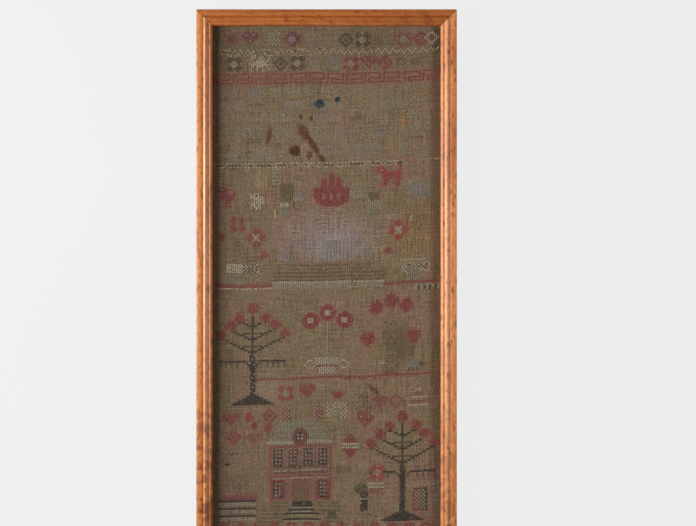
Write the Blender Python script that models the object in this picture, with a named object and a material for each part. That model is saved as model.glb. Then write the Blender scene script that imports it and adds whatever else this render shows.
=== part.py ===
"""A cross stitch sampler in a narrow mitred wooden frame, lying face up on its back.

Metres, +Z up. The origin is under the middle of the frame, on the plane of its back. +Y is the sampler's top.
"""

import math

import bmesh
import bpy

# The frame
FRAME_WIDTH = 0.265
FRAME_HEIGHT = 0.580
FACE_WIDTH = 0.0163  # of the moulding, from its outer side to the sight edge
REBATE_WIDTH = 0.0060
LIP_UNDERSIDE = 0.0093  # height of the lip's underside above the back
JOINT_GAP = 0.0003  # between neighbouring solids

# The moulding's face, from its outer side to the sight edge: heights are above the back, and each member
# starts at a distance in from the outer side
BAND_HEIGHT = 0.0200
BAND_CROWN = 0.0003
BAND_ROUND = 0.0012  # radius of the outer arris
QUIRK_START = 0.0064
QUIRK_DEPTH = 0.0009
BEAD_START = 0.0070
BEAD_FOOT = 0.0196
BEAD_RISE = 0.0016
COVE_START = 0.0112
COVE_SINK = 0.0009
LIP_START = 0.0136
LIP_TOP = 0.0192
LIP_ROUND = 0.0019  # radius of the round that falls to the sight edge
FILLET = 0.0002  # step between the bead and the cove

# The cloth and the board behind it
CLOTH_THICKNESS = 0.0012
CLOTH_TUCK = 0.0050  # how far the cloth runs under the lip
CLOTH_TOP = LIP_UNDERSIDE - JOINT_GAP
CLOTH_CELLS = (14, 32)
BOARD_THICKNESS = 0.0030
RIPPLE_ROOM = 0.0006  # the lowest the cloth dips
BOARD_TOP = CLOTH_TOP - CLOTH_THICKNESS - RIPPLE_ROOM - JOINT_GAP

# The cloth's broad unevenness: soft troughs, each with its middle, half length, half width and turn
TROUGHS = (
    # x, y, half_length, half_width, turn_deg, depth
    (0.045, -0.088, 0.040, 0.008, -48, 0.00045),
    (-0.040, 0.130, 0.070, 0.030, 12, 0.00035),
    (0.050, 0.060, 0.080, 0.022, -9, 0.00030),
    (-0.030, -0.040, 0.060, 0.026, 20, 0.00030),
    (0.010, -0.200, 0.080, 0.030, 4, 0.00035),
)

WOOD_COLOUR = (0.52, 0.19, 0.05, 1.0)
BOARD_COLOUR = (0.34, 0.22, 0.12, 1.0)
CLOTH_COLOUR = (0.16, 0.12, 0.08, 1.0)


def material(name, colour, roughness):
    """A plain Principled material."""
    made = bpy.data.materials.new(name)
    made.use_nodes = True
    shader = made.node_tree.nodes["Principled BSDF"]
    shader.inputs["Base Color"].default_value = colour
    shader.inputs["Roughness"].default_value = roughness
    shader.inputs["Metallic"].default_value = 0.0
    return made


def add_object(name, mesh_builder, look):
    """Writes a bmesh to a new object with one material, and its faces pointing out."""
    bmesh.ops.recalc_face_normals(mesh_builder, faces=mesh_builder.faces)
    mesh = bpy.data.meshes.new(name)
    mesh_builder.to_mesh(mesh)
    mesh_builder.free()
    mesh.materials.append(look)
    made = bpy.data.objects.new(name, mesh)
    bpy.context.collection.objects.link(made)
    return made


def arch(start, end, base, rise, steps):
    """Points on the arc over the level chord from start to end. A negative rise makes a hollow."""
    half = (end - start) / 2
    radius = (half * half + rise * rise) / (2 * rise)
    sweep = math.asin(half / radius)
    middle = (start + end) / 2
    points = []
    for step in range(steps + 1):
        angle = -sweep + 2 * sweep * step / steps
        points.append((middle + radius * math.sin(angle), base + rise - radius * (1 - math.cos(angle))))
    return points


def quarter_round(centre, radius, start_deg, steps):
    """Points on a quarter circle, from start_deg clockwise."""
    points = []
    for step in range(steps + 1):
        angle = math.radians(start_deg - 90 * step / steps)
        points.append((centre[0] + radius * math.cos(angle), centre[1] + radius * math.sin(angle)))
    return points


def moulding_section():
    """The rail's outline as (distance in from the outer side, height), from the outer back edge."""
    section = [(0.0, 0.0)]
    section += quarter_round((BAND_ROUND, BAND_HEIGHT - BAND_ROUND), BAND_ROUND, 180, 4)
    section += arch(BAND_ROUND, QUIRK_START, BAND_HEIGHT, BAND_CROWN, 4)[1:]
    section.append(((QUIRK_START + BEAD_START) / 2, BAND_HEIGHT - QUIRK_DEPTH))
    section += arch(BEAD_START, COVE_START - FILLET, BEAD_FOOT, BEAD_RISE, 10)
    section += arch(COVE_START, LIP_START, LIP_TOP, -COVE_SINK, 6)
    section += quarter_round((FACE_WIDTH - LIP_ROUND, LIP_TOP - LIP_ROUND), LIP_ROUND, 90, 5)
    section.append((FACE_WIDTH, LIP_UNDERSIDE))
    section.append((FACE_WIDTH - REBATE_WIDTH, LIP_UNDERSIDE))
    section.append((FACE_WIDTH - REBATE_WIDTH, 0.0))
    return section


def closed_edges(builder, ring):
    """Edges joining the ring's vertices in turn and back to the first."""
    return [builder.edges.new((ring[i - 1], ring[i])) for i in range(len(ring))]


def add_rail(name, length, half_span, turn_deg, look):
    """One mitred rail. It is drawn along +X with its outer side towards +Y, then turned into its place.

    length is its outer side's length and half_span the distance from the frame's middle to that side.
    """
    builder = bmesh.new()
    mitre_gap = JOINT_GAP / math.sqrt(2)
    ends = []
    for side in (-1, 1):
        ring = []
        for across, height in moulding_section():
            along = side * (length / 2 - across - mitre_gap)
            ring.append(builder.verts.new((along, half_span - across, height)))
        ends.append(ring)
    bmesh.ops.bridge_loops(builder, edges=[edge for ring in ends for edge in closed_edges(builder, ring)])
    for ring in ends:
        builder.faces.new(ring)
    bmesh.ops.triangulate(builder, faces=[face for face in builder.faces if len(face.verts) > 4])
    rail = add_object(name, builder, look)
    rail.rotation_euler.z = math.radians(turn_deg)
    return rail


def trough_depth(x, y):
    """How far the cloth dips below its tightest plane at a point."""
    depth = 0.0
    for middle_x, middle_y, half_length, half_width, turn_deg, deepest in TROUGHS:
        turn = math.radians(turn_deg)
        along = (x - middle_x) * math.cos(turn) + (y - middle_y) * math.sin(turn)
        across = (y - middle_y) * math.cos(turn) - (x - middle_x) * math.sin(turn)
        depth += deepest * math.exp(-((along / half_length) ** 2) - (across / half_width) ** 2)
    return min(depth, RIPPLE_ROOM)


def outer_ring(grid):
    """A grid's border vertices, once round."""
    right = [line[-1] for line in grid[1:-1]]
    left = [line[0] for line in grid[1:-1]]
    return grid[0] + right + grid[-1][::-1] + left[::-1]


def add_cloth(look):
    """The stitched ground: one thin sheet with soft troughs, flat where the lip covers it."""
    half_x = FRAME_WIDTH / 2 - FACE_WIDTH + CLOTH_TUCK
    half_y = FRAME_HEIGHT / 2 - FACE_WIDTH + CLOTH_TUCK
    columns, rows = CLOTH_CELLS
    builder = bmesh.new()
    faces_of_cloth = []
    for thickness in (0.0, CLOTH_THICKNESS):
        grid = []
        for row in range(rows + 1):
            y = half_y * (2 * row / rows - 1)
            line = []
            for column in range(columns + 1):
                x = half_x * (2 * column / columns - 1)
                at_edge = row in (0, rows) or column in (0, columns)
                dip = 0.0 if at_edge else trough_depth(x, y)
                line.append(builder.verts.new((x, y, CLOTH_TOP - thickness - dip)))
            grid.append(line)
        for row in range(rows):
            for column in range(columns):
                near = grid[row][column : column + 2]
                far = grid[row + 1][column : column + 2]
                builder.faces.new(near + far[::-1])
        faces_of_cloth.append(grid)
    front, back = (outer_ring(grid) for grid in faces_of_cloth)
    for i in range(len(front)):
        builder.faces.new((front[i - 1], front[i], back[i], back[i - 1]))
    bmesh.ops.triangulate(builder, faces=builder.faces)
    return add_object("sampler_cloth", builder, look)


def add_board(look):
    """The plain board behind the cloth."""
    slack = REBATE_WIDTH - CLOTH_TUCK
    half_x = FRAME_WIDTH / 2 - FACE_WIDTH + CLOTH_TUCK + slack / 2
    half_y = FRAME_HEIGHT / 2 - FACE_WIDTH + CLOTH_TUCK + slack / 2
    builder = bmesh.new()
    bmesh.ops.create_cube(builder, size=1.0)
    for corner in builder.verts:
        corner.co.x *= 2 * half_x
        corner.co.y *= 2 * half_y
        corner.co.z = BOARD_TOP + (corner.co.z - 0.5) * BOARD_THICKNESS
    return add_object("backing_board", builder, look)


def main():
    for old in list(bpy.data.objects):
        bpy.data.objects.remove(old)
    wood = material("wood", WOOD_COLOUR, 0.35)
    add_rail("rail_top", FRAME_WIDTH, FRAME_HEIGHT / 2, 0, wood)
    add_rail("rail_bottom", FRAME_WIDTH, FRAME_HEIGHT / 2, 180, wood)
    add_rail("rail_left", FRAME_HEIGHT, FRAME_WIDTH / 2, 90, wood)
    add_rail("rail_right", FRAME_HEIGHT, FRAME_WIDTH / 2, -90, wood)
    add_cloth(material("linen", CLOTH_COLOUR, 0.9))
    add_board(material("board", BOARD_COLOUR, 0.7))


main()
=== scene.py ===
"""Looks for the framed cross stitch sampler: stitches, linen, stains, figured maple and a pale studio."""

import math
import random

import bpy
import numpy as np
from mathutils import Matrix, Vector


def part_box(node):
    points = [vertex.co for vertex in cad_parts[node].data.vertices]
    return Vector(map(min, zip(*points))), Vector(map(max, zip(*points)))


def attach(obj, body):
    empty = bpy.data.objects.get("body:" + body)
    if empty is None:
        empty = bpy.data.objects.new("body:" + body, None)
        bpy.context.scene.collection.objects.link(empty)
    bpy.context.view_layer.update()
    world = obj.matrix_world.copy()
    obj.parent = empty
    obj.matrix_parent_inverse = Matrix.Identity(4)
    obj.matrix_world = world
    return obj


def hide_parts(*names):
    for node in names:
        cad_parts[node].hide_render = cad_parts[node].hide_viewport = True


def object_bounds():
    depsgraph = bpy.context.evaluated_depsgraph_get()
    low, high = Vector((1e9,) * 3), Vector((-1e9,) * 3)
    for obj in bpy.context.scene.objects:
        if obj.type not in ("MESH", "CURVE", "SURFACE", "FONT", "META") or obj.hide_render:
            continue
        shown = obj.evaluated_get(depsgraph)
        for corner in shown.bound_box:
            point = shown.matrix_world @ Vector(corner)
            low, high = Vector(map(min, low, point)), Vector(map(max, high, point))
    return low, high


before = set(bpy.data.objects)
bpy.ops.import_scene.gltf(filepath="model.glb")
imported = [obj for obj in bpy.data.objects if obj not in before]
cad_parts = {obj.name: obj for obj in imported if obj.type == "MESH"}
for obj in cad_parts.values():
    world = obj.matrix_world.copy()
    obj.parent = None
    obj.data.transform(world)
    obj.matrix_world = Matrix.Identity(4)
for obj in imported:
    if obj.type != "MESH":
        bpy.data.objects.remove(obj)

CAD_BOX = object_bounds()
dice = random.Random(11)

# ---------------------------------------------------------------- sizes, in metres
LOW, HIGH = CAD_BOX
FRAME_WIDTH = HIGH.x - LOW.x
FRAME_HEIGHT = HIGH.y - LOW.y
FACE_WIDTH = 0.0163  # of the moulding, outer side to sight edge
REBATE_WIDTH = 0.0060
LIP_UNDERSIDE = 0.0093
JOINT_GAP = 0.0003
CLOTH_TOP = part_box("sampler_cloth")[1].z
CLOTH_TUCK = 0.0050
CLOTH_SKIN = 0.0007  # thickness of the linen itself

# The counted ground: stitches across and down the opening
COLUMNS = 122
PITCH = (FRAME_WIDTH - 2 * FACE_WIDTH) / COLUMNS
ROWS = int((FRAME_HEIGHT - 2 * FACE_WIDTH) / PITCH)
LEFT = LOW.x + FACE_WIDTH
TOP = HIGH.y - FACE_WIDTH

# The cloth was stretched askew: how many rows its threads have crept up, at four columns of each row
CREEP_COLUMNS = (40, 60, 90, 120)
CREEP = {
    0: (0.0, 0.0, 0.0, 0.0),
    27: (0.0, 0.1, 1.0, 2.0),
    74: (0.0, 0.2, 1.6, 2.4),
    138: (0.0, 0.3, 1.7, 3.3),
    188: (0.2, 1.5, 2.6, 3.9),
    262: (0.0, 0.0, 0.0, 0.0),
}

# The cloth's soft troughs
TROUGHS = (
    # x, y, half_length, half_width, turn_deg, depth
    (0.045, -0.088, 0.040, 0.008, -48, 0.00045),
    (-0.040, 0.130, 0.070, 0.030, 12, 0.00035),
    (0.050, 0.060, 0.080, 0.022, -9, 0.00030),
    (-0.030, -0.040, 0.060, 0.026, 20, 0.00030),
    (0.010, -0.200, 0.080, 0.030, 4, 0.00035),
)
DEEPEST = 0.0006

WHITE = (1.0, 1.0, 1.0, 1.0)
LIT = 0.80  # how bright a white surface comes out in the picture, as a share of full white


def colour(red, green, blue):
    """The surface colour that shows as this 0 to 255 colour in the picture's light."""
    linear = []
    for value in (red, green, blue):
        v = value / 255
        linear.append((v / 12.92 if v < 0.04045 else ((v + 0.055) / 1.055) ** 2.4) / LIT)
    return (*linear, 1.0)


# ---------------------------------------------------------------- the threads
THREADS = {
    # name: (colour, stroke width as a share of the pitch, height in mm, how far its needle holes and the
    # painted shade between its stitches darken the cloth)
    "rose": (colour(136, 58, 55), 0.46, 0.40, 0.50),
    "scarlet": (colour(156, 66, 54), 0.46, 0.40, 0.45),
    "brick": (colour(132, 66, 54), 0.46, 0.36, 0.40),
    "faded_red": (colour(124, 80, 66), 0.38, 0.30, 0.20),
    "pink": (colour(128, 98, 85), 0.38, 0.30, 0.10),
    "plum": (colour(106, 60, 60), 0.44, 0.36, 0.35),
    "dark": (colour(44, 33, 19), 0.46, 0.36, 0.72),
    "twig": (colour(68, 55, 37), 0.36, 0.32, 0.10),
    "cream": (colour(170, 157, 132), 0.40, 0.36, 0.35),
    "pale": (colour(146, 134, 113), 0.36, 0.30, 0.25),
    "celadon": (colour(127, 119, 99), 0.38, 0.30, 0.25),
    "olive": (colour(98, 84, 52), 0.40, 0.34, 0.10),
    "moss": (colour(86, 82, 48), 0.38, 0.32, 0.10),
    "bottle": (colour(50, 52, 34), 0.42, 0.36, 0.30),
    "slate": (colour(124, 122, 118), 0.36, 0.30, 0.12),
    "lilac": (colour(134, 121, 119), 0.34, 0.28, 0.12),
    "tan": (colour(130, 108, 78), 0.36, 0.30, 0.15),
    "ghost": (colour(138, 124, 105), 0.30, 0.22, 0.05),
}
DYES_THAT_BLED = ("rose", "scarlet", "brick", "faded_red", "plum")

# ---------------------------------------------------------------- the counted design
canvas = {}


def stitch(column, row, thread):
    if 0 <= column < COLUMNS and 0 <= row < ROWS:
        canvas[(column, row)] = thread


def block(thread, column, row, width, height, worn=0.0, every=(1, 1)):
    """A filled rectangle, or every so many columns and rows of it. worn is the share that has gone."""
    for r in range(row, row + height, every[1]):
        for c in range(column, column + width, every[0]):
            if dice.random() >= worn:
                stitch(c, r, thread)


def checks(first, second, column, row, width, height, worn=0.0):
    """A rectangle of two threads turn and turn about. A thread of None leaves its stitches bare."""
    for r in range(row, row + height):
        for c in range(column, column + width):
            thread = second if (c + r) % 2 else first
            if thread and dice.random() >= worn:
                stitch(c, r, thread)


def disc(thread, column, row, across, down, worn=0.0):
    """A filled oval of that half width and half height about a middle."""
    for r in range(math.floor(row - down), math.ceil(row + down) + 1):
        for c in range(math.floor(column - across), math.ceil(column + across) + 1):
            reach = ((c + 0.5 - column) / across) ** 2 + ((r + 0.5 - row) / down) ** 2
            if reach <= 1.0 and dice.random() >= worn:
                stitch(c, r, thread)


def ring(thread, column, row, across, down, worn=0.0):
    """The outline of such an oval."""
    turns = round(7 * max(across, down))
    for turn in range(turns):
        angle = 2 * math.pi * turn / turns
        if dice.random() >= worn:
            stitch(round(column + across * math.cos(angle)), round(row + down * math.sin(angle)), thread)


def line(thread, *points, worn=0.0):
    """A run of stitches through the points, each a column and a row."""
    for (c0, r0), (c1, r1) in zip(points, points[1:]):
        steps = max(1, round(max(abs(c1 - c0), abs(r1 - r0))))
        for step in range(steps + 1):
            if dice.random() >= worn:
                share = step / steps
                stitch(math.floor(c0 + (c1 - c0) * share), math.floor(r0 + (r1 - r0) * share), thread)


def chart(column, row, drawing, worn=0.0, **threads):
    """Works a small drawing, one letter a stitch, with its top left at a column and row."""
    for down, marks in enumerate(drawing.split()):
        for across, mark in enumerate(marks):
            if mark in threads and dice.random() >= worn:
                stitch(column + across, row + down, threads[mark])


HEART = """
.rrr.rrr.
rrwrrrwrr
rrrrrrrrr
.rrrrrrr.
..rrwrr..
...rrr...
....r....
"""
KNOT = """
...ww...
..wllw..
.wlkklw.
wlk..klw
.wlkklw.
..wllw..
...ww...
"""
POSY = """
.nn..nn.
nnnnnnnn
nnnwwnnn
.nwwwwn.
.nwwwwn.
nnnwwnnn
nnnnnnnn
.nn..nn.
"""
DIAMOND = """
...nn...
..nnnn..
.nn..nn.
nn.nn.nn
nn.nn.nn
.nn..nn.
..nnnn..
...nn...
"""
KEY = """
rrrrrrrrr.
r.......r.
r.......r.
r.rrrrrrr.
r.r.......
r.rrrrrrrr
"""
REDBIRD = """
..rrr.....
.rwrrr....
rrrrrr....
..rrrr..rr
..rrrrrrrr
..rrrrrrr.
..rrrrrrr.
...rrrrr..
....rrr...
....r.r...
...rr.rr..
"""
DOVE = """
..cccc...
.cccncc..
.ccccccc.
...cccccc
..ccccccc
ccccccccc
.cccccc..
...cccc..
....c.c..
"""
HOUND = """
...........rr.
.rr.........r.
rrrr........r.
rrwrr......rr.
rrrrrrrrrrrrr.
...rrrrrrrrrr.
...rrprprprrr.
...rrrrrrrrrr.
...rrr...rrrr.
...rr.....rr..
...rr.....rr..
..rrr....rrr..
"""
PLUS_FLOWER = """
...rrrr...
...rrrr...
...rrrr...
rrrwppwrrr
rrrpwwprrr
rrrpwwprrr
rrrwppwrrr
...rrrr...
...rrrr...
...rrrr...
"""
LAMB = """
.ssssss...
sssssssnn.
sssssssnnn
sssssss.n.
.n.n.n.n..
.n.n.n.n..
"""
BUD = """
.rr.rr.
rrrrrrr
.rrrrr.
..rrr..
"""


def top_bands():
    """Two rows of small motifs with a zigzag between them."""
    disc("faded_red", 9.5, 6.5, 3.6, 3.6, worn=0.05)
    disc("plum", 9.5, 6.5, 1.6, 1.6)
    chart(15, 3, HEART, r="plum", w="pale")
    checks("pale", None, 29, 3, 7, 7, worn=0.12)
    disc("plum", 42, 7, 4.2, 4.2, worn=0.05)
    disc("lilac", 42, 7, 1.7, 1.7)
    checks("ghost", None, 50, 3, 8, 8, worn=0.1)
    chart(67, 3, DIAMOND, n="twig", worn=0.04)
    chart(76, 3, POSY, n="twig", w="pale")
    block("olive", 84, 4, 6, 8, worn=0.55, every=(2, 1))
    chart(98, 3, POSY, n="faded_red", w="pale", worn=0.03)
    chart(107, 3, DIAMOND, n="brick", worn=0.04)
    chart(113, 3, KNOT, w="cream", l="lilac", k="plum")
    block("moss", 118, 9, 3, 4, worn=0.3)
    for column in range(2, 121):
        ragged = column < 32 or 41 < column < 61
        rise = dice.randrange(4) if ragged else (0, 1, 2, 1)[column % 4]
        stitch(column, 12 + rise, "cream" if dice.random() > 0.3 else "pale")
        if ragged and dice.random() > 0.5:
            stitch(column, 12 + dice.randrange(4), "pale")
    chart(7, 16, POSY, n="twig", w="pale")
    block("cream", 19, 15, 12, 9, worn=0.66)
    block("pale", 19, 15, 12, 9, worn=0.7)
    disc("cream", 25, 20, 2.6, 2.2, worn=0.1)
    chart(32, 16, DIAMOND, n="twig", worn=0.04)
    chart(41, 16, POSY, n="twig", w="pale")
    checks("ghost", None, 50, 15, 8, 9, worn=0.2)
    checks("slate", None, 61, 16, 7, 7, worn=0.05)
    block("pink", 71, 16, 21, 8, worn=0.6)
    for place, drawing in enumerate((POSY, HEART, DIAMOND)):
        chart(70 + 9 * place, 16, drawing, r="brick", n="brick", w="pale", worn=0.04)
    checks("olive", None, 98, 17, 5, 5)
    checks("olive", "tan", 105, 17, 5, 5, worn=0.3)


def key_border():
    """The running key, with faded filling between its lines."""
    for unit in range(-1, 13):
        chart(round(unit * 10.15), 25, KEY, r="brick")
    block("faded_red", 0, 25, COLUMNS, 1, worn=0.9)


def turned(x, y, turn_deg):
    """A place measured along and across axes turned by that much."""
    turn = math.radians(turn_deg)
    return x * math.cos(turn) + y * math.sin(turn), y * math.cos(turn) - x * math.sin(turn)


def under_a_stain(column, row):
    for middle, down, half_width, half_height, turn_deg, _, strength, _ in STAINS:
        across, up = turned(column + 0.5 - middle, row + 0.5 - down, turn_deg)
        if strength > 0.6 and math.hypot(across / half_width, up / half_height) < 1.2:
            return True
    return False


def faded_band():
    """Five rows of small marks, so faded that little but their texture is left."""
    for top, height in ((33, 5), (40, 5), (47, 4), (54, 7), (64, 8)):
        column = 4
        while column < COLUMNS - 5:
            width = dice.choice((4, 5, 5, 6, 7))
            if dice.random() > 0.2:
                thread = "ghost" if dice.random() > 0.2 else dice.choice(("pale", "lilac"))
                second = "ghost" if dice.random() > 0.6 else None
                checks(thread, second, column, top, width, height, worn=0.15)
            column += width + dice.choice((0, 1, 2))
    for column in range(10, 118, 2):
        line("ghost", (column, 53), (column, 61), worn=0.55)
        line("ghost", (column, 64), (column, 71), worn=0.60)
    checks("slate", None, 19, 33, 5, 5)
    checks("pale", None, 26, 46, 18, 5, worn=0.2)
    checks("pale", None, 24, 64, 5, 3)
    checks("slate", None, 24, 67, 5, 5)
    checks("pale", None, 52, 54, 6, 8, worn=0.1)
    for column, row in [spot for spot in canvas if 32 < spot[1] < 73]:
        if under_a_stain(column, row):
            del canvas[(column, row)]


def braid_line():
    """A narrow braid: pale stitches about a row of dark ones, growing sparse to the right."""
    for column in range(COLUMNS):
        pale = "cream" if dice.random() > 0.45 else "pale"
        if 103 <= column < 109:
            pale = dice.choice(("faded_red", "tan", "cream"))
        if column % 2 or dice.random() > 0.7:
            stitch(column, 73, pale)
        if not column % 2 and column < 102:
            stitch(column, 74, dice.choice(("dark", "twig", "pale")))
        if dice.random() > (0.35 if column < 102 else 0.7):
            stitch(column, 75, pale)


def red_tulip(middle, top):
    """A five-petalled tulip: pointed petals with bare columns between them, over a round cup."""
    for petal, drop in ((-8, 8), (-4, 3), (0, 0), (4, 3), (8, 8)):
        stitch(middle + petal, top + drop, "rose")
        block("rose", middle + petal - 1, top + drop + 1, 3, 12 - drop)
    disc("rose", middle + 0.5, top + 13.5, 9.6, 5.6)
    for side in (-4, 0, 4):
        block("pale", middle + side, top + 12, 1, 3)


def animal_band():
    chart(2, 86, REDBIRD, r="rose", w="pale")
    chart(19, 89, DOVE, c="cream", n="dark", worn=0.18)
    block("pale", 32, 76, 5, 9, worn=0.08, every=(1, 2))
    block("pale", 32, 76, 5, 9, worn=0.75)
    block("tan", 25, 79, 4, 8, worn=0.3, every=(2, 1))
    block("olive", 36, 85, 7, 9, worn=0.06)
    block("twig", 36, 89, 6, 1, worn=0.4)
    block("lilac", 44, 89, 5, 3)
    block("pale", 43, 92, 6, 2)
    block("faded_red", 31, 88, 4, 6, worn=0.3, every=(2, 1))
    block("cream", 36, 95, 5, 2)
    block("celadon", 36, 97, 5, 6, worn=0.03)
    line("cream", (33, 98), (33, 102))
    line("twig", (43, 94), (44, 98))
    block("ghost", 52, 97, 5, 5, worn=0.35)
    red_tulip(63, 78)
    chart(88, 75, HOUND, r="scarlet", w="cream", p="faded_red")
    block("ghost", 74, 85, 9, 4, worn=0.06)
    block("pale", 73, 89, 9, 4, worn=0.1)
    block("olive", 83, 90, 6, 5, worn=0.08)
    block("pale", 83, 94, 8, 5, worn=0.06)
    block("celadon", 83, 99, 5, 4, worn=0.1)
    block("slate", 105, 88, 8, 6, worn=0.1, every=(2, 1))
    block("lilac", 104, 86, 7, 4, worn=0.5)
    block("tan", 106, 94, 12, 8, worn=0.3, every=(2, 1))
    block("pale", 105, 83, 5, 4, worn=0.45)
    chart(9, 102, POSY, n="brick", w="pink")
    block("rose", 3, 111, 3, 4)
    chart(18, 108, PLUS_FLOWER, r="brick", w="cream", p="pink")
    chart(94, 106, PLUS_FLOWER, r="scarlet", w="cream", p="pale")
    disc("brick", 27, 122.3, 2.2, 1.9)
    disc("brick", 93.2, 121.3, 1.8, 1.9)
    block("pink", 95, 118, 2, 6, worn=0.3)
    for row in (115, 117):
        line("olive", (11, row), (14, row))
    line("brick", (104, 103), (104, 105), (103, 107))
    line("brick", (105, 107), (107, 108), (108, 109))
    block("cream", 105, 104, 2, 3, worn=0.2)
    block("tan", 108, 103, 9, 7, worn=0.2)
    block("tan", 97, 117, 20, 9, worn=0.1, every=(2, 1))
    block("olive", 19, 123, 4, 4, every=(1, 2))


def mound_band():
    """The faded middle: pale squares over a striped mound, with a basket at each side."""
    block("lilac", 46, 114, 3, 3)
    block("slate", 49, 114, 6, 9, worn=0.04, every=(2, 1))
    block("lilac", 36, 120, 8, 3, every=(1, 2))
    block("slate", 40, 122, 5, 5, every=(2, 1))
    block("lilac", 36, 123, 4, 3)
    block("slate", 58, 115, 8, 4, every=(1, 2))
    block("lilac", 58, 115, 8, 10, worn=0.45)
    block("slate", 60, 119, 6, 6, worn=0.1, every=(2, 1))
    block("lilac", 67, 115, 8, 10, every=(2, 1))
    block("lilac", 75, 111, 4, 5, every=(2, 1))
    block("celadon", 75, 116, 4, 3, worn=0.2)
    block("slate", 80, 120, 6, 5, worn=0.15, every=(2, 1))
    for row in range(127, 137):
        first, last = (41, 83) if row < 131 else (32, 91)
        for column in range(first, last + 1):
            if row < 131:
                thread = "tan" if row % 2 else dice.choice(("faded_red", "olive", "tan"))
            else:
                thread = "tan" if row % 2 else "olive"
            if dice.random() > 0.12:
                stitch(column, row, thread)
    block("pale", 32, 137, 60, 4, worn=0.04)
    block("cream", 32, 137, 60, 1, worn=0.15)
    block("cream", 7, 127, 9, 5, worn=0.03)
    checks("cream", "twig", 16, 127, 8, 5, worn=0.15)
    block("celadon", 6, 132, 12, 2, worn=0.05)
    block("pink", 7, 134, 11, 1, worn=0.1)
    block("celadon", 6, 135, 12, 3, worn=0.05)
    line("pale", (24, 130), (26, 133), (24, 136))
    block("pale", 19, 133, 6, 4, worn=0.6)
    block("cream", 100, 127, 14, 1, worn=0.04)
    block("pale", 96, 128, 6, 3, worn=0.35)
    checks("cream", "ghost", 101, 129, 16, 5, worn=0.15)
    block("twig", 103, 130, 12, 3, worn=0.75)
    block("celadon", 104, 131, 6, 8, worn=0.1)
    block("pink", 110, 137, 8, 2, worn=0.4)
    block("brick", 1, 138, 31, 2)
    block("faded_red", 4, 138, 27, 1, worn=0.45)
    block("cream", 2, 140, 30, 1, worn=0.12)
    block("pink", 92, 138, 8, 1, worn=0.2)
    block("rose", 91, 139, 31, 1)
    block("pink", 96, 140, 24, 1, worn=0.5)
    for column in range(108, 121, 3):
        block("pale", column, 141, 2, 3)
        block("dark", column + 2, 142, 1, 2)


def fruit(column, row, across, down):
    """A round red fruit, its edge a little ragged and its heart a little worn."""
    disc("faded_red", column, row, across + 1.2, down + 1.2, worn=0.55)
    disc("rose", column, row, across, down, worn=0.06)
    disc("brick", column + 0.6, row + 0.4, across - 1.0, down - 1.0, worn=0.5)


def foot(middle, top, reaches):
    """A tree's spreading foot, wider row by row."""
    for step, reach in enumerate(reaches):
        for column in range(round(middle - reach), round(middle + reach) + 1):
            stitch(column, top + step, "dark" if dice.random() > 0.12 else "twig")


def fruit_tree(middle, foot_row, trunk, specks):
    """A counted tree: a trunk on a spreading foot, and pairs of arms that end in fruits."""
    fork = foot_row - trunk
    for row in range(fork, foot_row):
        for column in (middle - 1, middle, middle + 1):
            stitch(column, row, specks if (row + 2 * column) % 5 == 0 else "dark")
    foot(middle, foot_row, (3, 5, 7, 9, 11))
    line("dark", (middle, fork - 22), (middle, fork))
    fruit(middle + 0.5, fork - 25, 2.5, 2.6)
    for reach, rise in ((7, 15), (12, 8), (17, 1)):
        for side in (-1, 1):
            tip = (middle + side * reach, fork - rise - reach // 2)
            line("dark", (middle, fork - rise), tip)
            fruit(tip[0] + 0.5, tip[1] - 2, 2.3, 2.4)
    for rise in (5, 12):
        line("twig", (middle - 5, fork - rise), (middle + 5, fork - rise))
    for side in (-1, 1):
        line("dark", (middle, fork + 7), (middle + 5 * side, fork + 3), (middle + 17 * side, fork + 3))
        for step in (8, 11, 14, 17):
            block("twig", middle + step * side, fork + 4, 1, 3)


def flower_vase():
    """Three flowers on bent stems, in a checked vase with a ring handle at each side."""
    middle = 61
    for reach, row in ((-9, 158), (0, 154), (9, 158)):
        stem = "pale" if reach == 0 else "celadon"
        line(stem, (middle + reach, row + 4), (middle + reach // 2, 170), (middle, 178))
        disc("rose", middle + reach + 0.5, row + 0.5, 4.3, 4.3, worn=0.04)
        disc("cream", middle + reach + 0.5, row + 0.5, 1.5, 1.5)
    for side in (-1, 1):
        ring("cream", middle + 9 * side, 182, 2.6, 2.3)
    checks("cream", "pale", middle - 6, 179, 13, 4)
    block("brick", middle - 5, 183, 11, 1, worn=0.3)
    checks("cream", "pale", middle - 4, 184, 9, 4)


def faded_tree():
    """A tree whose olive trunk has nearly gone, with its fruits left."""
    checks("olive", "tan", 92, 160, 7, 25, worn=0.4)
    for column, row in ((87, 152), (95, 149), (103, 152), (83, 169), (107, 169)):
        fruit(column + 0.5, row, 3.2, 3.5)
    checks("olive", "tan", 91, 185, 9, 3)
    block("brick", 91, 188, 9, 1, worn=0.05)
    chart(104, 182, LAMB, s="slate", n="twig", worn=0.1)


def red_divider():
    block("brick", 23, 189, COLUMNS - 23, 1)
    block("pink", 24, 188, 26, 1, worn=0.45)
    block("faded_red", 60, 190, 45, 1, worn=0.5)
    block("plum", 119, 189, 3, 12, worn=0.5)


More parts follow.
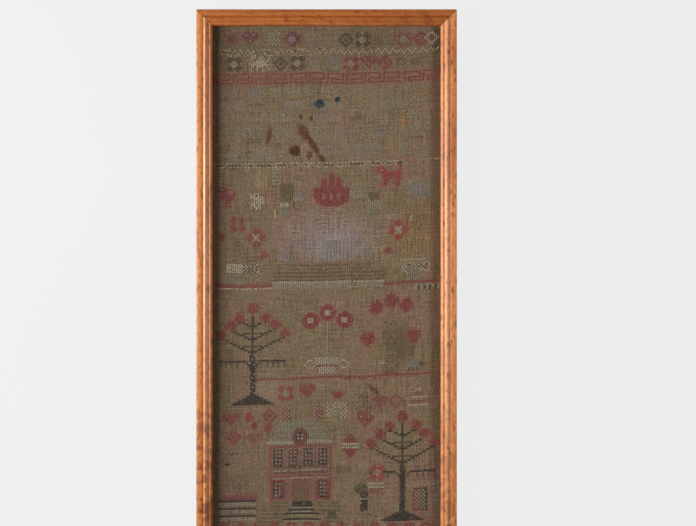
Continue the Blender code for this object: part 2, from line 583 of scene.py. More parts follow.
def middle_band():
    """Small motifs between the divider and the house."""
    chart(35, 193, POSY, n="brick", w="pale", worn=0.05)
    chart(46, 193, HEART, r="brick", w="brick", worn=0.04)
    chart(63, 197, BUD, r="rose")
    line("celadon", (66, 201), (66, 216))
    for side in (61, 67):
        checks("cream", None, side, 203, 5, 8, worn=0.05)
    checks("olive", "tan", 76, 197, 8, 10, worn=0.35)
    checks("brick", "moss", 77, 207, 7, 3, worn=0.15)
    block("olive", 84, 204, 4, 5, worn=0.3, every=(2, 1))
    chart(85, 200, HEART, r="faded_red", w="faded_red", worn=0.05)
    chart(94, 199, DIAMOND, n="faded_red", worn=0.05)
    for step in range(5):
        block(("cream", "faded_red")[step % 2], 109 - step, 197 + 2 * step, 2 * step + 3, 1)
    chart(5, 207, HEART, r="brick", w="brick", worn=0.05)
    disc("rose", 19.4, 209.5, 2.2, 2.2)
    disc("rose", 22.2, 214.0, 1.8, 1.8)
    chart(26, 205, DIAMOND, n="brick")
    disc("brick", 29.0, 215.5, 2.4, 2.2)
    checks("plum", "pale", 36, 205, 5, 7)
    chart(7, 216, DIAMOND, n="brick", worn=0.04)
    chart(17, 218, HEART, r="faded_red", w="faded_red", worn=0.05)
    block("olive", 29, 218, 1, 3)
    chart(77, 209, HEART, r="brick", w="pale", worn=0.12)
    block("twig", 8, 228, 5, 2, worn=0.5)
    line("dark", (6, 234), (8, 234))
    block("celadon", 25, 225, 2, 8, worn=0.25)
    block("faded_red", 24, 225, 1, 8, worn=0.4)


def window(column, row, panes_across, panes_down, pane="cream"):
    """A sash: a brown lattice with a pale pane in each opening."""
    for r in range(row, row + 2 * panes_down + 1):
        for c in range(column, column + 2 * panes_across + 1):
            is_pane = (r - row) % 2 and (c - column) % 2
            stitch(c, r, pane if is_pane else dice.choice(("dark", "twig", "plum")))


def house():
    """A house front, its windows evenly spaced about a middle door."""
    left, right, eaves, ground = 30, 62, 225, 254
    middle = (left + right) // 2
    for side in (-9, 9):
        checks("brick", "pale", middle + side - 1, 204, 4, 8)
    for row in range(212, eaves):
        half = 9 + (row - 212) * 2 // 3
        block("celadon" if row % 3 else "pale", middle - half, row, 2 * half + 1, 1, worn=0.03)
    block("cream", middle - 17, eaves - 2, 35, 1, worn=0.1)
    disc("plum", middle + 0.5, 220.5, 4.2, 4.6)
    window(middle - 2, 218, 2, 2)
    for row in range(eaves + 1, ground + 1):
        for column in range(left + 2, right - 1):
            if dice.random() > 0.2:
                stitch(column, row, "pink" if column % 2 else "faded_red")
    for column, thread in ((left, "brick"), (left + 1, "pink"), (right - 1, "pink"), (right, "brick")):
        block(thread, column, eaves, 1, ground - eaves + 1)
    block("brick", left, eaves, right - left + 1, 1)
    for step in range(4):
        window(left + 2 + 8 * step, eaves + 2, 2, 4, "pale")
    for row, thread in ((236, "twig"), (238, "pale"), (239, "plum"), (241, "brick"), (242, "pale")):
        block(thread, left + 2, row, right - left - 3, 1, worn=0.15)
    for column in (left + 2, right - 6):
        block("rose", column - 1, 243, 7, 11)
        window(column, 244, 2, 4, "pale")
    checks("olive", "faded_red", middle - 3, 244, 7, 11)
    for column in (middle - 4, middle + 4):
        block("brick", column, 243, 1, 12)
    block("brick", middle - 4, 243, 9, 1)


def steps_and_ground():
    block("dark", 42, 255, 11, 3)
    block("lilac", 44, 256, 6, 1, worn=0.5)
    block("pale", 42, 258, 11, 1)
    for row, first, last in ((259, 40, 54), (261, 38, 56), (264, 36, 58)):
        block("dark", first, row, last - first + 1, 1)
        block("pale", first + 2, row + 1, last - first - 3, 1, worn=0.1)
    for row in range(254, 266):
        first = round(32 - (row - 254) * 0.8)
        last = 40 - (row - 254) // 3
        thread = "olive" if row % 2 else "tan"
        block(thread, first, row, last - first, 1, worn=0.12)
        block(thread, 55 + (row - 254) // 3, row, 12, 1, worn=0.15)
    checks("bottle", "moss", 62, 260, 4, 4)
    checks("olive", "tan", 11, 240, 8, 11, worn=0.3)
    block("brick", 6, 251, 17, 2, worn=0.03)
    block("faded_red", 6, 251, 16, 1)
    block("plum", 3, 253, 20, 1)
    for row in (254, 258, 262):
        block("dark", 3, row, 20, 1)
        block("pale", 3, row + 1, 20, 2, worn=0.08)


def right_corner():
    """The diamond, flower, small tree and gate beside the second tree."""
    for step in range(5):
        block("brick", 73 - step, 219 + step, 2 * step + 1, 1, worn=0.05)
        block("rose", 69 + step, 227 + step, 9 - 2 * step, 1, worn=0.05)
    for row, thread in ((224, "cream"), (225, "lilac"), (226, "cream")):
        block(thread, 69, row, 9, 1, worn=0.1)
    chart(84, 236, POSY, n="scarlet", w="pale")
    block("cream", 83, 245, 9, 1)
    block("pale", 83, 246, 9, 1, worn=0.1)
    block("cream", 83, 247, 9, 1, worn=0.1)
    checks("brick", None, 83, 248, 8, 3, worn=0.05)
    checks("olive", "tan", 65, 236, 9, 4)
    disc("olive", 79, 248, 4.0, 3.0, worn=0.12)
    checks("bottle", None, 76, 246, 6, 4)
    for row in range(250, 260):
        block("pale" if row == 253 else "dark", 79, row, 4, 1, worn=0.15)
    block("olive", 77, 261, 9, 1, worn=0.3)
    block("plum", 107, 248, 8, 12)
    block("bottle", 114, 248, 1, 12)
    block("bottle", 108, 248, 7, 1, worn=0.4)
    checks("rose", "pale", 108, 249, 3, 10)
    checks("bottle", "pale", 111, 249, 3, 10)
    block("slate", 118, 245, 3, 4, worn=0.2, every=(2, 1))
    block("slate", 117, 252, 4, 3, worn=0.1, every=(1, 2))


def bottom_border():
    """A row of small red flowers, a braid of dashes and a key close the sampler."""
    for middle in range(6, 118, 9):
        disc("brick", middle, 269, 3.3, 3.3, worn=0.1)
        disc("cream", middle, 269, 1.2, 1.2)
    for column in range(COLUMNS):
        stitch(column, 276 + column % 2, "cream" if dice.random() > 0.4 else "pale")
    for unit in range(-1, 13):
        chart(round(unit * 10.15), 279, KEY, r="brick", worn=0.1)


def work_design():
    top_bands()
    key_border()
    faded_band()
    braid_line()
    animal_band()
    mound_band()
    red_divider()
    fruit_tree(21, 198, 22, "lilac")
    flower_vase()
    faded_tree()
    middle_band()
    house()
    steps_and_ground()
    fruit_tree(101, 260, 24, "twig")
    right_corner()
    bottom_border()


# ---------------------------------------------------------------- where a counted place lies
def creep(column, row):
    """How many rows the cloth has crept up at a place."""
    rows = list(CREEP)
    table = np.array(list(CREEP.values()))
    at_column = [np.interp(row, rows, amounts) for amounts in table.T]
    bounds = zip(CREEP_COLUMNS, CREEP_COLUMNS[1:], at_column, at_column[1:])
    total = at_column[0] * np.clip(column / CREEP_COLUMNS[0], 0, 1)
    for first, last, before, after in bounds:
        total = total + (after - before) * np.clip((column - first) / (last - first), 0, 1)
    return total


def drift(column, row):
    """Small waves of the cloth's threads, in stitches across and down."""
    across = 0.30 * np.sin(row * 0.055 + 1.3) + 0.18 * np.sin(row * 0.021 + column * 0.06)
    down = 0.28 * np.sin(column * 0.085 + 0.6) + 0.16 * np.sin(column * 0.19 + row * 0.03)
    return across, down


def trough_depth(x, y):
    depth = np.zeros_like(x)
    for middle_x, middle_y, half_length, half_width, turn_deg, deepest in TROUGHS:
        along, across = turned(x - middle_x, y - middle_y, turn_deg)
        depth += deepest * np.exp(-((along / half_length) ** 2) - (across / half_width) ** 2)
    return np.minimum(depth, DEEPEST)


def place(column, row):
    """The point on the cloth under a counted column and row."""
    across, down = drift(column, row)
    x = LEFT + (column + across) * PITCH
    y = TOP - (row + down - creep(column, row)) * PITCH
    return x, y, CLOTH_TOP - trough_depth(x, y)


def counted(x, y):
    """The column and row over a point: place() turned round by a few repeats."""
    column = (x - LEFT) / PITCH
    row = (TOP - y) / PITCH
    for _ in range(4):
        across, down = drift(column, row)
        column = (x - LEFT) / PITCH - across
        row = (TOP - y) / PITCH - down + creep(column, row)
    return column, row


# ---------------------------------------------------------------- node helpers
class Graph:
    """Short ways to add shader nodes. A value may be a socket, a number or a colour."""

    def __init__(self, name):
        self.material = bpy.data.materials.new(name)
        self.material.use_nodes = True
        self.tree = self.material.node_tree
        self.shader = self.tree.nodes["Principled BSDF"]

    def put(self, value, socket):
        if isinstance(value, bpy.types.NodeSocket):
            self.tree.links.new(value, socket)
        else:
            socket.default_value = value

    def add(self, kind, **settings):
        node = self.tree.nodes.new(kind)
        for name, value in settings.items():
            setattr(node, name, value)
        return node

    def math(self, operation, *values, clamp=False):
        node = self.add("ShaderNodeMath", operation=operation, use_clamp=clamp)
        for value, socket in zip(values, node.inputs):
            self.put(value, socket)
        return node.outputs[0]

    def times(self, first, second):
        return self.math("MULTIPLY", first, second)

    def plus(self, first, second):
        return self.math("ADD", first, second)

    def from_place(self, value, place):
        """How far a value is from a place on its scale."""
        return self.math("ABSOLUTE", self.math("SUBTRACT", value, place))

    def mix(self, share, first, second, blend="MIX"):
        node = self.add("ShaderNodeMix", data_type="RGBA", blend_type=blend)
        self.put(share, node.inputs["Factor"])
        self.put(first, node.inputs[6])
        self.put(second, node.inputs[7])
        return node.outputs[2]

    def shaded(self, base, shade):
        """A colour multiplied by a plain value."""
        grey = self.add("ShaderNodeCombineColor")
        for socket in grey.inputs:
            self.put(shade, socket)
        return self.mix(1.0, base, grey.outputs[0], "MULTIPLY")

    def noise(self, vector, scale, detail=2.0, roughness=0.5, warp=0.0):
        node = self.add("ShaderNodeTexNoise")
        self.put(vector, node.inputs["Vector"])
        self.put(scale, node.inputs["Scale"])
        self.put(detail, node.inputs["Detail"])
        self.put(roughness, node.inputs["Roughness"])
        self.put(warp, node.inputs["Distortion"])
        return node.outputs["Fac"]

    def stretch(self, vector, across=1.0, up=1.0, deep=1.0, shift=(0.0, 0.0, 0.0)):
        node = self.add("ShaderNodeMapping")
        self.put(vector, node.inputs["Vector"])
        node.inputs["Scale"].default_value = (across, up, deep)
        node.inputs["Location"].default_value = shift
        return node.outputs[0]

    def ease(self, value, low, high, low_out=0.0, high_out=1.0):
        node = self.add("ShaderNodeMapRange", interpolation_type="SMOOTHSTEP")
        names = ("Value", "From Min", "From Max", "To Min", "To Max")
        for name, given in zip(names, (value, low, high, low_out, high_out)):
            self.put(given, node.inputs[name])
        return node.outputs[0]

    def apart(self, vector):
        node = self.add("ShaderNodeSeparateXYZ")
        self.put(vector, node.inputs[0])
        return node.outputs

    def uv(self, name):
        return self.add("ShaderNodeUVMap", uv_map=name).outputs[0]

    def attribute(self, name):
        return self.add("ShaderNodeAttribute", attribute_name=name).outputs["Fac"]

    def places(self):
        return self.add("ShaderNodeTexCoord").outputs["Object"]

    def bump(self, height, strength, distance):
        node = self.add("ShaderNodeBump")
        self.put(height, node.inputs["Height"])
        node.inputs["Strength"].default_value = strength
        node.inputs["Distance"].default_value = distance
        self.tree.links.new(node.outputs[0], self.shader.inputs["Normal"])

    def finish(self, base, roughness, **constants):
        self.put(base, self.shader.inputs["Base Color"])
        self.put(roughness, self.shader.inputs["Roughness"])
        for name, value in constants.items():
            self.shader.inputs[name.replace("_", " ")].default_value = value
        return self.material


# ---------------------------------------------------------------- materials
STAINS = (
    # column, row, half_width, half_height, turn_deg, colour, strength, softness
    (57.5, 41.8, 2.8, 2.3, 0, (22, 40, 50), 0.97, 0.30),
    (57.8, 46.0, 3.6, 4.0, 0, (84, 88, 78), 0.45, 0.80),
    (67.2, 39.2, 1.6, 1.3, 0, (24, 42, 52), 0.97, 0.35),
    (30.3, 58.4, 1.5, 4.8, 12, (88, 54, 30), 0.85, 0.35),
    (49.0, 57.0, 2.8, 4.6, -30, (88, 54, 28), 0.88, 0.35),
    (54.2, 64.0, 1.6, 6.4, -32, (80, 46, 24), 0.92, 0.35),
    (58.9, 70.8, 1.5, 2.2, -45, (80, 46, 24), 0.92, 0.30),
    (44.3, 67.0, 3.2, 3.0, 0, (74, 42, 22), 0.97, 0.22),
    (52.3, 69.6, 1.4, 2.4, 10, (84, 50, 28), 0.80, 0.35),
    (47.6, 48.8, 1.1, 1.1, 0, (74, 46, 28), 0.90, 0.35),
    (53.2, 49.6, 1.0, 1.6, 0, (80, 50, 30), 0.85, 0.35),
    (19.2, 61.0, 2.0, 5.0, 10, (112, 84, 58), 0.45, 0.60),
    (102.0, 53.0, 1.4, 4.0, 0, (150, 100, 62), 0.50, 0.60),
    (95.4, 64.0, 1.4, 5.6, 0, (146, 100, 66), 0.35, 0.60),
    (63.0, 113.0, 25.0, 12.5, 0, (130, 111, 103), 0.68, 0.60),
    (64.0, 118.0, 12.0, 8.0, 0, (130, 120, 122), 0.45, 0.60),
    (110.0, 90.0, 7.0, 5.0, 15, (104, 106, 96), 0.50, 0.55),
    (26.0, 82.0, 3.0, 7.0, 0, (140, 116, 84), 0.55, 0.60),
    (32.0, 92.0, 4.5, 4.0, 0, (132, 98, 70), 0.45, 0.60),
    (62.0, 132.0, 30.0, 5.0, 0, (104, 82, 54), 0.45, 0.45),
    (87.6, 198.0, 5.8, 1.3, 44, (72, 56, 38), 0.75, 0.45),
    (101.5, 173.5, 6.0, 10.0, 0, (80, 66, 44), 0.70, 0.55),
    (94.5, 170.0, 4.0, 14.0, 0, (98, 82, 56), 0.45, 0.55),
    (111.0, 110.0, 9.0, 12.0, 0, (124, 96, 62), 0.55, 0.60),
    (105.0, 120.0, 14.0, 8.0, 0, (122, 100, 64), 0.50, 0.60),
    (88.0, 8.0, 6.0, 6.0, 0, (104, 88, 56), 0.45, 0.60),
    (24.0, 262.0, 16.0, 6.0, 0, (96, 80, 54), 0.30, 0.60),
    (30.0, 194.0, 7.0, 8.0, 0, (136, 122, 100), 0.35, 0.60),
)
# Painted shade: the cloth is darkened beside the right rail, as that rail's shadow on it.
RIGHT_RAIL_SHADE_FROM = 115  # the cloth darkens from this column to the right rail

# Each rail's shellacked maple colours, lighter or darker rail by rail as painted light: the right rail
# lightest and the top and bottom darkest, for how the lamps fall on each.
# The bottom one is like the top one, but for where it curls.
WOODS = {
    "top": {
        "light": (178, 100, 38), "deep": (160, 88, 32), "blotch": (144, 70, 26),
        "curl_at": 0.100, "curl_reach": 0.050, "curl": 0.6, "eyes_left_out": 0.0,
    },
    "left": {
        "light": (202, 128, 58), "deep": (183, 110, 47), "blotch": (148, 72, 30),
        "curl_at": -0.210, "curl_reach": 0.200, "curl": 0.95, "eyes_left_out": 0.0,
    },
    "right": {
        "light": (225, 149, 80), "deep": (205, 129, 64), "blotch": (176, 92, 42),
        "curl_at": 0.220, "curl_reach": 0.160, "curl": 0.5, "eyes_left_out": -0.15,
    },
}
WOODS["bottom"] = {**WOODS["top"], "curl_at": -0.080, "curl_reach": 0.060}

# The bird's eyes come in three sizes
EYES = (
    # cells a metre across the grain, shift, size in its cell, share of cells with no eye
    (150.0, 0.0, 0.30, 0.42),
    (100.0, 5.3, 0.26, 0.50),
    (260.0, 9.1, 0.34, 0.45),
)


def linen_material():
    """Worn brown linen: paired threads over and under, slubs, age patches, bled dye and stains."""
    g = Graph("linen_ground")
    weave = g.uv("counted")
    across, down, _ = g.apart(weave)
    warp_side = g.math("SINE", g.times(across, 2 * math.pi))
    weft_side = g.math("SINE", g.times(down, 2 * math.pi))
    warp_round = g.math("POWER", g.math("ABSOLUTE", warp_side), 0.6)
    weft_round = g.math("POWER", g.math("ABSOLUTE", weft_side), 0.6)
    over = g.times(g.math("SIGN", warp_side), weft_side)
    under = g.times(g.math("SIGN", weft_side), warp_side)
    warp_height = g.times(warp_round, g.math("MULTIPLY_ADD", over, 0.35, 0.65))
    weft_height = g.times(weft_round, g.math("MULTIPLY_ADD", under, -0.35, 0.65))
    relief = g.math("MAXIMUM", warp_height, weft_height)

    # Slubs: each thread thickens and thins along its length, and some stand out where the cloth is open
    warp_slub = g.noise(g.stretch(weave, 1.15, 0.07), 1.0, 2.0, 0.6)
    weft_slub = g.noise(g.stretch(weave, 0.07, 1.15, shift=(7.0, 3.0, 0.0)), 1.0, 2.0, 0.6)
    openness = g.noise(g.stretch(weave, 1.0, 0.6, shift=(17.0, 9.0, 0.0)), 0.09, 2.0)
    zone = g.ease(openness, 0.40, 0.62, 0.35, 1.0)
    warp_line = g.ease(warp_slub, 0.34, 0.66, -0.21, 0.21)
    weft_line = g.ease(weft_slub, 0.34, 0.66, -0.18, 0.18)
    slub = g.times(g.plus(warp_line, weft_line), zone)
    speck = g.ease(g.noise(weave, 0.85, 3.0, 0.65), 0.32, 0.68, -0.25, 0.25)
    # The threads lie in pairs, with a faint gap at every stitch
    column_line = g.math("ABSOLUTE", g.math("SINE", g.times(across, math.pi)))
    row_line = g.math("ABSOLUTE", g.math("SINE", g.times(down, math.pi)))
    gap = g.ease(g.times(column_line, row_line), 0.0, 0.8, 0.0, 1.0)
    grid = g.math("MULTIPLY_ADD", g.math("SUBTRACT", gap, 0.62), g.times(zone, 0.36), 1.0)

    patch = g.noise(weave, 0.030, 3.0, 0.55, 0.6)
    patch_olive = g.noise(g.stretch(weave, shift=(31.0, 5.0, 0.0)), 0.075, 4.0, 0.6, 0.4)
    patch_pale = g.noise(g.stretch(weave, shift=(3.0, 57.0, 0.0)), 0.21, 3.0, 0.6, 0.4)
    base = g.mix(g.ease(patch, 0.42, 0.60), colour(111, 94, 70), colour(117, 93, 75))
    base = g.mix(g.ease(patch_olive, 0.50, 0.66, 0.0, 0.85), base, colour(110, 96, 66))
    base = g.mix(g.ease(patch_pale, 0.54, 0.74, 0.0, 0.6), base, colour(124, 110, 95))

    for column, row, half_width, half_height, turn_deg, shade, strength, softness in STAINS:
        spot = g.add("ShaderNodeMapping", vector_type="TEXTURE")
        g.put(weave, spot.inputs["Vector"])
        spot.inputs["Location"].default_value = (column, row, 0.0)
        spot.inputs["Rotation"].default_value = (0.0, 0.0, math.radians(turn_deg))
        spot.inputs["Scale"].default_value = (half_width, half_height, 1.0)
        reach = g.add("ShaderNodeVectorMath", operation="LENGTH")
        g.put(spot.outputs[0], reach.inputs[0])
        wobble = g.noise(g.stretch(weave, shift=(column, row, 0.0)), 0.45, 2.0, 0.6)
        edge = g.math("MULTIPLY_ADD", wobble, 0.9, g.math("SUBTRACT", reach.outputs["Value"], 0.45))
        share = g.ease(edge, 1.0 + softness, 1.0 - softness, 0.0, strength)
        base = g.mix(share, base, colour(*shade))

    bled = g.math("MULTIPLY", g.attribute("bled"), 0.95, clamp=True)
    base = g.mix(bled, base, colour(128, 82, 69))
    # The cloth under and between stitches is darkened: its needle holes, and painted shade between the raised
    # threads.
    worked = g.ease(g.attribute("worked"), 0.0, 1.0, 1.0, 0.30)
    # Painted shade and highlight of the weave: its low parts are darker, its crowns lighter.
    shade = g.times(g.ease(relief, 0.15, 0.85, 0.80, 1.10), grid)
    shade = g.times(shade, g.plus(g.plus(slub, speck), 1.0))
    shade = g.times(shade, worked)
    # Painted shade beside the right rail: the cloth darkens towards it.
    shade = g.times(shade, g.ease(across, RIGHT_RAIL_SHADE_FROM, RIGHT_RAIL_SHADE_FROM + 4, 1.0, 0.60))
    shade = g.times(shade, g.ease(across, 0.0, 90.0, 0.86, 1.03))
    shade = g.times(shade, g.ease(down, 0.0, 40.0, 0.84, 1.0))
    base = g.shaded(base, shade)
    g.bump(g.plus(slub, relief), 0.55, 0.00025)
    return g.finish(base, 0.92, Sheen_Weight=0.15, Sheen_Roughness=0.6, Specular_IOR_Level=0.2)


def thread_material(name, shade):
    """Twisted thread: worn lighter and darker stitch by stitch, with fine plies."""
    g = Graph("thread_" + name)
    where = g.places()
    worn = g.attribute("worn")
    blotch = g.noise(where, 180.0, 2.0)
    fleck = g.noise(where, 2600.0, 2.0, 0.6)
    tone = g.plus(worn, g.ease(blotch, 0.3, 0.7, -0.14, 0.14))
    tone = g.plus(tone, g.ease(fleck, 0.3, 0.7, -0.12, 0.12))
    faded = [channel * 0.62 + ground * 0.38 for channel, ground in zip(shade, colour(122, 104, 86))]
    deep = [channel * 0.70 for channel in shade[:3]] + [1.0]
    base = g.mix(g.ease(tone, 0.55, 1.0), tuple(deep), shade)
    base = g.mix(g.ease(tone, 1.0, 1.5), base, tuple(faded))
    g.bump(fleck, 0.4, 0.0001)
    return g.finish(base, 0.85, Sheen_Weight=0.25, Sheen_Roughness=0.5, Specular_IOR_Level=0.25)


def maple_material(side, shift):
    """Shellacked birdseye maple: long grain, cross curl, dark eyes, painted shade in the quirk and the cove,
    and a glossy skin.
    """
    wood = WOODS[side]
    blotch = colour(*wood["blotch"])
    g = Graph("maple_" + side)
    grain = g.stretch(g.uv("grain"), shift=(shift, shift * 0.37, 0.0))
    along, across, _ = g.apart(g.uv("grain"))
    streak = g.noise(g.stretch(grain, 9.0, 320.0), 1.0, 4.0, 0.6, 0.3)
    flame = g.noise(g.stretch(grain, 22.0, 95.0), 1.0, 4.0, 0.55, 1.2)
    curl_wave = g.noise(g.stretch(grain, 80.0, 55.0), 1.0, 3.0, 0.6, 0.8)
    from_curl = g.from_place(along, wood["curl_at"])
    curl_here = g.times(g.ease(from_curl, wood["curl_reach"], 0.0), wood["curl"])
    curl_share = g.times(g.ease(curl_wave, 0.47, 0.62), curl_here)
    broad = g.noise(g.stretch(grain, 11.0, 30.0), 1.0, 2.0, 0.5, 0.6)

    base = g.mix(g.ease(streak, 0.35, 0.65), colour(*wood["deep"]), colour(*wood["light"]))
    base = g.mix(g.ease(broad, 0.52, 0.72, 0.0, 0.6), base, blotch)
    base = g.mix(g.ease(flame, 0.57, 0.74, 0.0, 0.7), base, blotch)
    base = g.mix(curl_share, base, colour(124, 56, 8))

    mottle = g.noise(g.stretch(grain, 190.0, 420.0), 1.0, 3.0, 0.6, 0.5)
    base = g.mix(g.ease(mottle, 0.50, 0.64, 0.0, 0.6), base, blotch)
    ragged = g.add("ShaderNodeVectorMath", operation="MULTIPLY_ADD")
    torn = g.add("ShaderNodeTexNoise")
    g.put(grain, torn.inputs["Vector"])
    torn.inputs["Scale"].default_value = 420.0
    g.put(torn.outputs["Color"], ragged.inputs[0])
    ragged.inputs[1].default_value = (0.006, 0.0016, 0.0)
    g.put(grain, ragged.inputs[2])
    for scale, shift_by, size, left_out in EYES:
        cells = g.add("ShaderNodeTexVoronoi", feature="F1")
        spaced = g.stretch(ragged.outputs[0], scale * 0.42, scale, shift=(shift_by, shift_by, 0.0))
        g.put(spaced, cells.inputs["Vector"])
        cells.inputs["Scale"].default_value = 1.0
        cells.inputs["Randomness"].default_value = 1.0
        chosen = g.math("GREATER_THAN", g.apart(cells.outputs["Color"])[0], left_out + wood["eyes_left_out"])
        eye = g.times(chosen, g.ease(cells.outputs["Distance"], size, size * 0.3))
        base = g.mix(g.times(eye, 0.72), base, colour(126, 52, 2))

    # Painted shade: the quirk and the cove are darkened a little, as the shade in these hollows.
    hollow_shade = 0.0
    for middle, reach in ((QUIRK_SHADE_AT, 0.0008), (COVE_SHADE_AT, 0.0012)):
        near = g.ease(g.from_place(across, middle), reach, 0.0)
        hollow_shade = g.math("MAXIMUM", near, hollow_shade)
    base = g.mix(g.times(hollow_shade, 0.08), base, colour(92, 46, 24))
    gloss = g.ease(g.noise(grain, 160.0, 3.0), 0.3, 0.7, 0.46, 0.58)
    height = g.plus(g.times(streak, 0.6), g.noise(grain, 420.0, 2.0))
    g.bump(height, 0.12, 0.00025)
    return g.finish(base, gloss, Specular_IOR_Level=0.25, Coat_Weight=1.0, Coat_Roughness=0.40, Coat_IOR=1.56)


def board_material():
    """Bare softwood, darkened with age."""
    g = Graph("aged_pine")
    where = g.places()
    rings = g.noise(g.stretch(where, 60.0, 3.0, 60.0), 1.0, 4.0, 0.6, 0.8)
    fine = g.noise(g.stretch(where, 700.0, 20.0, 700.0), 1.0, 2.0)
    base = g.mix(g.ease(rings, 0.35, 0.65), colour(120, 92, 62), colour(92, 66, 42))
    base = g.mix(g.ease(fine, 0.5, 0.8, 0.0, 0.4), base, colour(70, 48, 30))
    g.bump(fine, 0.3, 0.0003)
    return g.finish(base, 0.75)


# ---------------------------------------------------------------- meshes
def linked(name, data):
    made = bpy.data.objects.new(name, data)
    bpy.context.collection.objects.link(made)
    return made


def set_values(made, name, values):
    """A number at every point of a mesh, for its material to read."""
    made.data.attributes.new(name, "FLOAT", "POINT").data.foreach_set("value", values)


def new_object(name, points, faces, material, smooth=True):
    mesh = bpy.data.meshes.new(name)
    mesh.from_pydata(points, [], faces)
    mesh.materials.append(material)
    mesh.polygons.foreach_set("use_smooth", [smooth] * len(mesh.polygons))
    mesh.update()
    return linked(name, mesh)


STROKE_POINTS = 14  # an end, three rings of four, an end
STROKE_SUNK = 0.00012  # how deep its ends go into the cloth
STROKE_STOPS = (0.10, 0.50, 0.90)  # where a stroke's rings stand along it
STROKE_GIRTHS = (0.78, 1.0, 0.78)
STROKE_LIFTS = (0.45, 1.0, 0.45)
CROSS_INSET = 0.06  # how far inside its square a cross begins and ends, in stitches
CROSS_STRAY = 0.035  # how far an end strays from there
TOP_STROKE_LIFT = 1.45  # the second stroke rides over the first


def stroke_faces():
    """One stroke's triangles: a point, three rings of four, a point."""
    first, last = 0, STROKE_POINTS - 1
    faces = []
    for side in range(4):
        after = (side + 1) % 4
        faces.append((first, 1 + after, 1 + side))
        faces.append((last, 9 + side, 9 + after))
        for ring in (1, 5):
            a, b = ring + side, ring + after
            faces.append((a, b, b + 4))
            faces.append((a, b + 4, a + 4))
    return np.array(faces)


def strokes(starts, ends, width, lift, seed):
    """Spindle-shaped strokes of thread between counted places."""
    chance = np.random.default_rng(seed)
    count = len(starts)
    girth = width * chance.uniform(0.84, 1.14, count)
    lift = lift * chance.uniform(0.8, 1.2, count)
    points = np.zeros((count, STROKE_POINTS, 3))
    for slot, end in ((0, starts), (-1, ends)):
        x, y, z = place(end[:, 0], end[:, 1])
        points[:, slot] = np.stack([x, y, z - STROKE_SUNK], axis=1)
    way = points[:, -1, :2] - points[:, 0, :2]
    side = np.stack([-way[:, 1], way[:, 0]], axis=1) / np.linalg.norm(way, axis=1)[:, None]
    for ring, (stop, fat, up) in enumerate(zip(STROKE_STOPS, STROKE_GIRTHS, STROKE_LIFTS)):
        middle = points[:, 0] * (1 - stop) + points[:, -1] * stop
        middle[:, 2] += STROKE_SUNK + lift * up * 0.5
        for corner, (out, rise) in enumerate(((1, 0), (0, 1), (-1, 0), (0, -1))):
            spot = points[:, 1 + 4 * ring + corner]
            spot[:] = middle
            spot[:, :2] += side * (out * fat * girth / 2)[:, None]
            spot[:, 2] += rise * lift * 0.5
    return points


def sew(thread, cells, material):
    """All the crosses worked in one thread, as one joined mesh."""
    _, width, height_mm, _ = THREADS[thread]
    seed = sum(map(ord, thread))
    chance = np.random.default_rng(seed + 1)
    cells = np.array(sorted(cells), float)
    count = len(cells)
    near, far = CROSS_INSET, 1 - CROSS_INSET
    jitter = lambda: chance.normal(0.0, CROSS_STRAY, (count, 2))
    rising = (cells + (near, far) + jitter(), cells + (far, near) + jitter())
    falling = (cells + (near, near) + jitter(), cells + (far, far) + jitter())
    lift = height_mm / 1000
    under = strokes(*rising, width * PITCH, lift, seed)
    over = strokes(*falling, width * PITCH, lift * TOP_STROKE_LIFT, seed + 2)
    points = np.concatenate([under, over])
    each = stroke_faces()
    faces = (each[None] + STROKE_POINTS * np.arange(2 * count)[:, None, None]).reshape(-1, 3)
    made = new_object("stitches_" + thread, points.reshape(-1, 3).tolist(), faces.tolist(), material)
    worn = np.tile(chance.normal(1.0, 0.14, count), 2) + chance.normal(0.0, 0.06, 2 * count)
    set_values(made, "worn", np.repeat(worn, STROKE_POINTS))
    return made


def bled_dye():
    """How much red dye has run into the cloth about each stitch: the red stitches, blurred."""
    margin = 8
    sheet = np.zeros((ROWS + 2 * margin, COLUMNS + 2 * margin))
    for (column, row), thread in canvas.items():
        if thread in DYES_THAT_BLED:
            sheet[row + margin, column + margin] = 1.0
    reach = np.arange(-4, 5)
    weights = np.exp(-((reach / 1.7) ** 2))
    weights /= weights.sum()
    for axis in (0, 1):
        sheet = sum(weight * np.roll(sheet, shift, axis) for weight, shift in zip(weights, reach))
    return sheet, margin


SHEET_COLUMNS, SHEET_ROWS = 124, 290  # how finely the cloth is divided
HALF_STEPS = ((-0.5, -0.5), (0.5, -0.5), (-0.5, 0.5), (0.5, 0.5))


